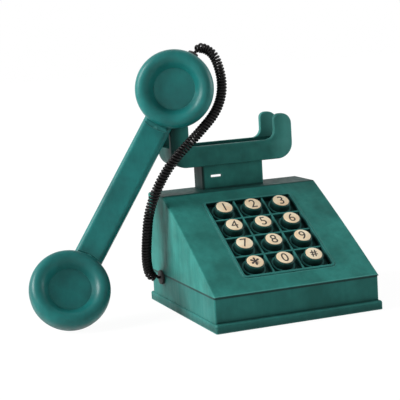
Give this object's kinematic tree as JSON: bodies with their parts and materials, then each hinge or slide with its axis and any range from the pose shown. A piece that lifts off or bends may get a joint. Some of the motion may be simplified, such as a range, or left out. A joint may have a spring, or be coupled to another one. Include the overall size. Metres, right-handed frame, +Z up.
{
  "type": "push-button telephone",
  "caption": "Desk telephone with a wedge base, sprung round push-buttons, a sprung forked cradle, a leaning handset and a curly cord",
  "frame": {"origin": "centre of the base's rest face on the table", "axes": "+Z up, front with the keypad towards -Y, handset leaning on the -X side"},
  "size_m": [0.2588, 0.1505, 0.218],
  "materials": {
    "teal_paint": "teal-green painted resin, semi-gloss, worn at the edges",
    "cream_plastic": "cream moulded plastic",
    "black_rubber": "matt black rubber",
    "cord_jacket": "satin black cord jacket",
    "zinc_steel": "zinc-plated steel",
    "bell_brass": "plain brass",
    "board": "green circuit board",
    "black_plastic": "black moulded plastic"
  },
  "bodies": {
    "base": {"base_tray": "teal_paint", "base_pad": "black_rubber", "housing": "teal_paint", "housing_screws": "zinc_steel", "keypad_frame": "teal_paint", "dome_mat": "black_rubber", "keypad_board": "board", "cradle_neck": "teal_paint", "hook_switch": "black_plastic", "hook_spring": "zinc_steel", "ringer_frame": "zinc_steel", "ringer_coils": "black_plastic", "gong_left": "bell_brass", "gong_right": "bell_brass", "gong_screws": "zinc_steel", "main_board": "board", "line_transformer": "black_plastic", "line_jack": "black_plastic", "cord_grommet": "black_rubber", "curly_cord": "cord_jacket"},
    "cradle": {"cradle": "teal_paint", "cradle_stem": "black_plastic", "stem_clip": "zinc_steel"},
    "clapper": {"clapper": "zinc_steel"},
    "handset": {"handset_handle": "teal_paint", "earpiece_cup": "teal_paint", "mouthpiece_cup": "teal_paint", "earpiece_cap": "teal_paint", "earpiece_disc": "teal_paint", "mouthpiece_cap": "teal_paint", "mouthpiece_disc": "teal_paint", "receiver_capsule": "black_plastic", "transmitter_capsule": "black_plastic", "handset_grommet": "black_rubber"},
    "key_1": {"key_1": "teal_paint", "key_1_face": "cream_plastic"},
    "key_2": {"key_2": "teal_paint", "key_2_face": "cream_plastic"},
    "key_3": {"key_3": "teal_paint", "key_3_face": "cream_plastic"},
    "key_4": {"key_4": "teal_paint", "key_4_face": "cream_plastic"},
    "key_5": {"key_5": "teal_paint", "key_5_face": "cream_plastic"},
    "key_6": {"key_6": "teal_paint", "key_6_face": "cream_plastic"},
    "key_7": {"key_7": "teal_paint", "key_7_face": "cream_plastic"},
    "key_8": {"key_8": "teal_paint", "key_8_face": "cream_plastic"},
    "key_9": {"key_9": "teal_paint", "key_9_face": "cream_plastic"},
    "key_star": {"key_star": "teal_paint", "key_star_face": "cream_plastic"},
    "key_0": {"key_0": "teal_paint", "key_0_face": "cream_plastic"},
    "key_hash": {"key_hash": "teal_paint", "key_hash_face": "cream_plastic"}
  },
  "joints": [
    {"name": "key_1_press", "type": "slide", "parent": "base", "child": "key_1", "axis": [0, 0.5285, -0.8489], "range_m": [0, 0.0022], "stiffness_N_per_m": 250, "springref_m": -0.001, "deforming": ["dome_mat"]},
    {"name": "key_2_press", "type": "slide", "parent": "base", "child": "key_2", "axis": [0, 0.5285, -0.8489], "range_m": [0, 0.0022], "stiffness_N_per_m": 250, "springref_m": -0.001, "deforming": ["dome_mat"]},
    {"name": "key_3_press", "type": "slide", "parent": "base", "child": "key_3", "axis": [0, 0.5285, -0.8489], "range_m": [0, 0.0022], "stiffness_N_per_m": 250, "springref_m": -0.001, "deforming": ["dome_mat"]},
    {"name": "key_4_press", "type": "slide", "parent": "base", "child": "key_4", "axis": [0, 0.5285, -0.8489], "range_m": [0, 0.0022], "stiffness_N_per_m": 250, "springref_m": -0.001, "deforming": ["dome_mat"]},
    {"name": "key_5_press", "type": "slide", "parent": "base", "child": "key_5", "axis": [0, 0.5285, -0.8489], "range_m": [0, 0.0022], "stiffness_N_per_m": 250, "springref_m": -0.001, "deforming": ["dome_mat"]},
    {"name": "key_6_press", "type": "slide", "parent": "base", "child": "key_6", "axis": [0, 0.5285, -0.8489], "range_m": [0, 0.0022], "stiffness_N_per_m": 250, "springref_m": -0.001, "deforming": ["dome_mat"]},
    {"name": "key_7_press", "type": "slide", "parent": "base", "child": "key_7", "axis": [0, 0.5285, -0.8489], "range_m": [0, 0.0022], "stiffness_N_per_m": 250, "springref_m": -0.001, "deforming": ["dome_mat"]},
    {"name": "key_8_press", "type": "slide", "parent": "base", "child": "key_8", "axis": [0, 0.5285, -0.8489], "range_m": [0, 0.0022], "stiffness_N_per_m": 250, "springref_m": -0.001, "deforming": ["dome_mat"]},
    {"name": "key_9_press", "type": "slide", "parent": "base", "child": "key_9", "axis": [0, 0.5285, -0.8489], "range_m": [0, 0.0022], "stiffness_N_per_m": 250, "springref_m": -0.001, "deforming": ["dome_mat"]},
    {"name": "key_star_press", "type": "slide", "parent": "base", "child": "key_star", "axis": [0, 0.5285, -0.8489], "range_m": [0, 0.0022], "stiffness_N_per_m": 250, "springref_m": -0.001, "deforming": ["dome_mat"]},
    {"name": "key_0_press", "type": "slide", "parent": "base", "child": "key_0", "axis": [0, 0.5285, -0.8489], "range_m": [0, 0.0022], "stiffness_N_per_m": 250, "springref_m": -0.001, "deforming": ["dome_mat"]},
    {"name": "key_hash_press", "type": "slide", "parent": "base", "child": "key_hash", "axis": [0, 0.5285, -0.8489], "range_m": [0, 0.0022], "stiffness_N_per_m": 250, "springref_m": -0.001, "deforming": ["dome_mat"]},
    {"name": "cradle_press", "type": "slide", "parent": "base", "child": "cradle", "axis": [0, 0, -1], "range_m": [0, 0.004], "stiffness_N_per_m": 300, "springref_m": -0.006, "deforming": ["hook_spring"]},
    {"name": "clapper_swing", "type": "hinge", "parent": "base", "child": "clapper", "pos_m": [0, -0.001, 0.021], "axis": [0, 0, 1], "range_deg": [-7, 7], "stiffness_Nm_per_rad": 0.02},
    {"name": "handset_lift", "type": "slide", "parent": "base", "child": "handset", "axis": [0, 0, 1], "range_m": [0, 0.12], "deforming": ["curly_cord"]}
  ]
}
